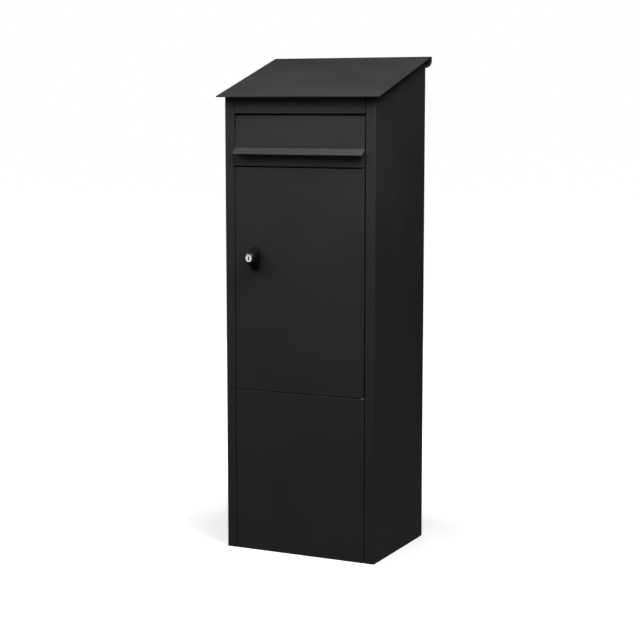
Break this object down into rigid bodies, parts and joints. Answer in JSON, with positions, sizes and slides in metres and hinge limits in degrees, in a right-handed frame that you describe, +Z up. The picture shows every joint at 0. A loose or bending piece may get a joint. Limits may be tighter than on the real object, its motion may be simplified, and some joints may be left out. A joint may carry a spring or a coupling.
{
  "type": "parcel drop box",
  "caption": "Free-standing steel parcel drop box with a sloped roof, a lift-up insertion flap, an inset locking door and a closed plinth.",
  "frame": {"origin": "centre of the base plate's underside, on the ground", "axes": "+Z up, +X to the right seen from the front, +Y towards the back; the door and flap face -Y"},
  "size_m": [0.39, 0.307, 1.0942],
  "materials": {
    "coated_steel": "fine matt powder coat",
    "zinc_steel": "zinc plated",
    "knob_plastic": "gloss black moulding",
    "nickel": "satin nickel plate",
    "rubber": "matt rubber",
    "nylon": "natural nylon"
  },
  "bodies": {
    "cabinet": {"back_panel": "coated_steel", "base_plate": "coated_steel", "parcel_floor": "coated_steel", "lower_front_panel": "coated_steel", "middle_rail": "coated_steel", "header_panel": "coated_steel", "roof_panel": "coated_steel", "drop_baffle": "coated_steel", "door_stop_strip": "coated_steel", "left_side_panel": "coated_steel", "right_side_panel": "coated_steel", "left_corner_strip": "coated_steel", "right_corner_strip": "coated_steel", "roof_bracket_left": "zinc_steel", "roof_bracket_right": "zinc_steel", "flap_pivot_left": "zinc_steel", "flap_pivot_right": "zinc_steel", "flap_pivot_nut_left": "zinc_steel", "flap_pivot_nut_right": "zinc_steel", "roof_nut_1": "zinc_steel", "roof_nut_2": "zinc_steel", "roof_nut_3": "zinc_steel", "roof_nut_4": "zinc_steel", "baffle_screw_left": "zinc_steel", "baffle_screw_right": "zinc_steel", "door_hinge_pin_bottom": "zinc_steel", "door_hinge_pin_top": "zinc_steel", "flap_bumper_left": "rubber", "flap_bumper_right": "rubber", "door_bumper_bottom": "rubber", "door_bumper_middle": "rubber", "door_bumper_top": "rubber", "wall_hole_plug_1": "rubber", "wall_hole_plug_2": "rubber", "wall_hole_plug_3": "rubber", "wall_hole_plug_4": "rubber", "anchor_hole_plug_1": "rubber", "anchor_hole_plug_2": "rubber", "anchor_hole_plug_3": "rubber", "anchor_hole_plug_4": "rubber", "door_hinge_washer": "nylon"},
    "door": {"door_panel": "coated_steel", "door_stiffener": "coated_steel", "lock_housing": "knob_plastic", "lock_nut": "zinc_steel"},
    "knob": {"knob": "knob_plastic", "latch_cam": "zinc_steel", "cam_nut": "zinc_steel"},
    "key_plug": {"key_cylinder": "nickel"},
    "flap": {"flap_panel": "coated_steel"}
  },
  "joints": [
    {"name": "door_hinge", "type": "hinge", "parent": "cabinet", "child": "door", "pos_m": [0.1505, -0.133, 0.608], "axis": [0, 0, 1], "range_deg": [0, 105]},
    {"name": "knob_turn", "type": "hinge", "parent": "door", "child": "knob", "pos_m": [-0.106, -0.14, 0.657], "axis": [0, -1, 0], "range_deg": [0, 90]},
    {"name": "key_turn", "type": "hinge", "parent": "knob", "child": "key_plug", "pos_m": [-0.106, -0.165, 0.657], "axis": [0, -1, 0], "range_deg": [-90, 0]},
    {"name": "flap_hinge", "type": "hinge", "parent": "cabinet", "child": "flap", "pos_m": [0, -0.1277, 0.959], "axis": [-1, 0, 0], "range_deg": [0, 80]}
  ]
}
